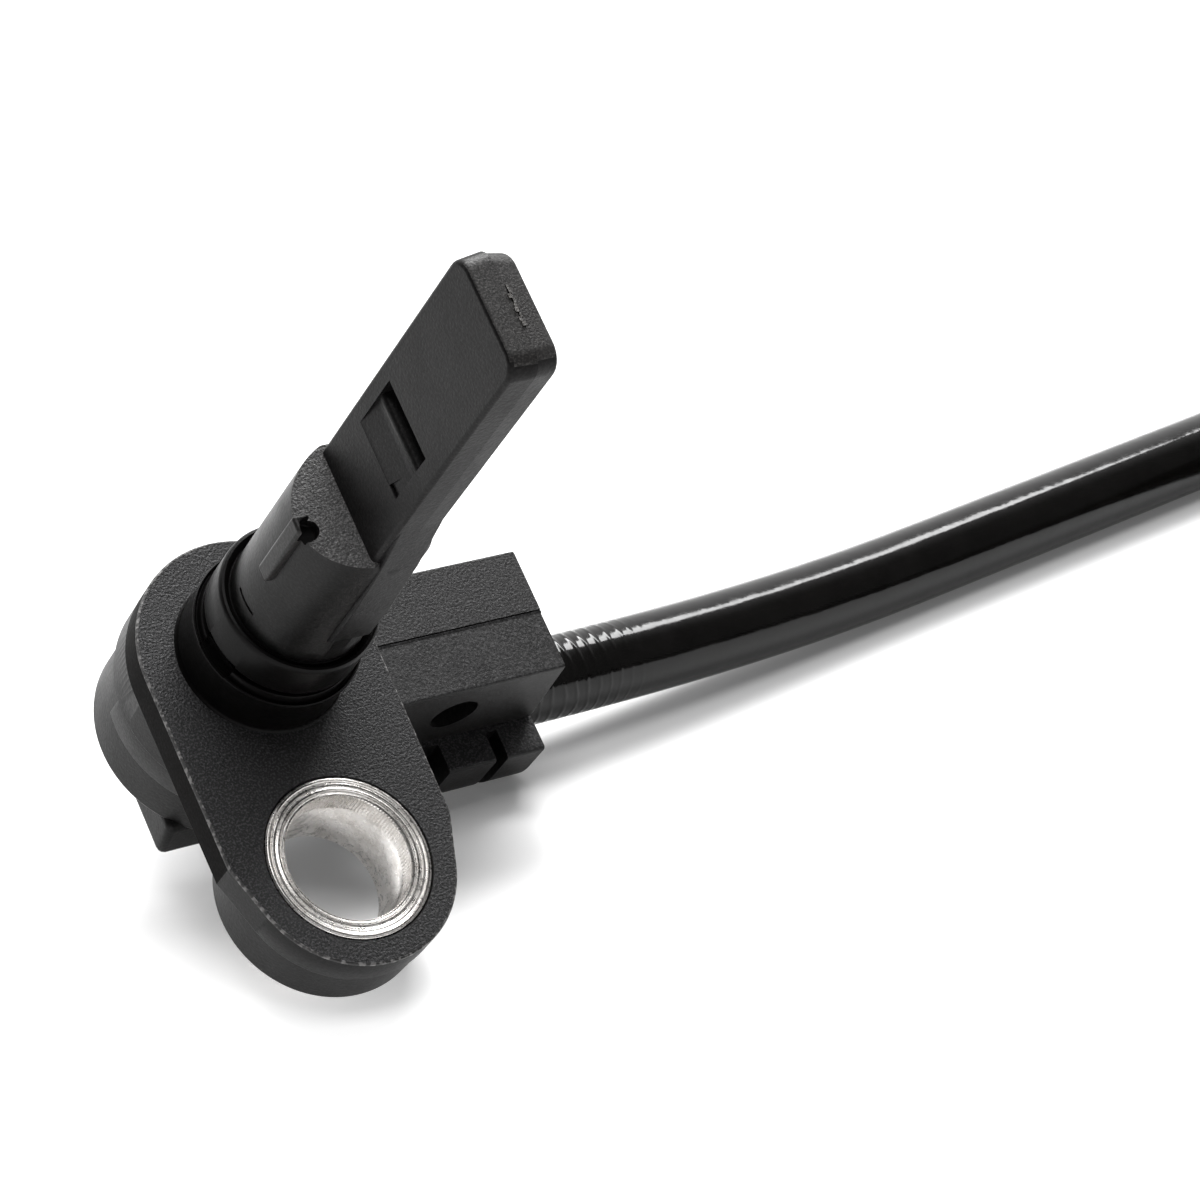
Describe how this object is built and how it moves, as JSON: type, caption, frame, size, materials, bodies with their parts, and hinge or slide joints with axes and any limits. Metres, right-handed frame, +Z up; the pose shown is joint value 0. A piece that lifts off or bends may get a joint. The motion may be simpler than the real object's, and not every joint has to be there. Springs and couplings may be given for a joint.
{
  "type": "abs wheel speed sensor",
  "caption": "Wheel speed sensor: flat probe on a bolt-on flange with a steel bush, cable leaving sideways and coiled up, ending in a plug-in connector",
  "frame": {"origin": "middle of the ground under the sensor head as it lies at rest, without its lead", "axes": "+Z up; +Y away from the viewer of the picture; +X to that viewer's right, the side the lead leaves to"},
  "size_m": [0.1391, 0.0985, 0.043],
  "materials": {
    "black_nylon": "fine spark-eroded texture and satin faces",
    "black_probe_plastic": "satin",
    "plated_bush": "turned faces",
    "cable_jacket": "glossy with faint ripples",
    "ic_epoxy": "matt",
    "capacitor_moulding": "matt",
    "tinned_lead": "bright tin",
    "copper": "bare copper",
    "carrier_plastic": "natural nylon",
    "core_insulation_a": "brown",
    "core_insulation_b": "blue",
    "connector_plastic": "satin",
    "hood_plastic": "satin",
    "wire_seal_rubber": "matt silicone",
    "lock_plastic": "satin",
    "contact_metal": "tinned brass",
    "tie_plastic": "satin"
  },
  "bodies": {
    "root": {"mounting_housing": "black_nylon", "probe_body": "black_probe_plastic", "bolt_bush": "plated_bush", "sensor_ic": "ic_epoxy", "ic_lead_a": "tinned_lead", "ic_lead_b": "tinned_lead", "capacitor_module": "capacitor_moulding", "crimp_a": "tinned_lead", "crimp_b": "tinned_lead", "conductor_a": "copper", "conductor_b": "copper", "core_a": "core_insulation_a", "core_b": "core_insulation_b", "inner_carrier": "carrier_plastic", "cable_jacket": "cable_jacket", "cable_coil": "cable_jacket", "cable_tail": "cable_jacket", "coil_tie": "tie_plastic", "connector_body": "connector_plastic", "connector_hood": "hood_plastic", "secondary_lock": "lock_plastic", "contact_a": "contact_metal", "contact_b": "contact_metal", "wire_seal_a": "wire_seal_rubber", "wire_seal_b": "wire_seal_rubber", "tail_core_a": "core_insulation_a", "tail_core_b": "core_insulation_b"}
  },
  "joints": []
}
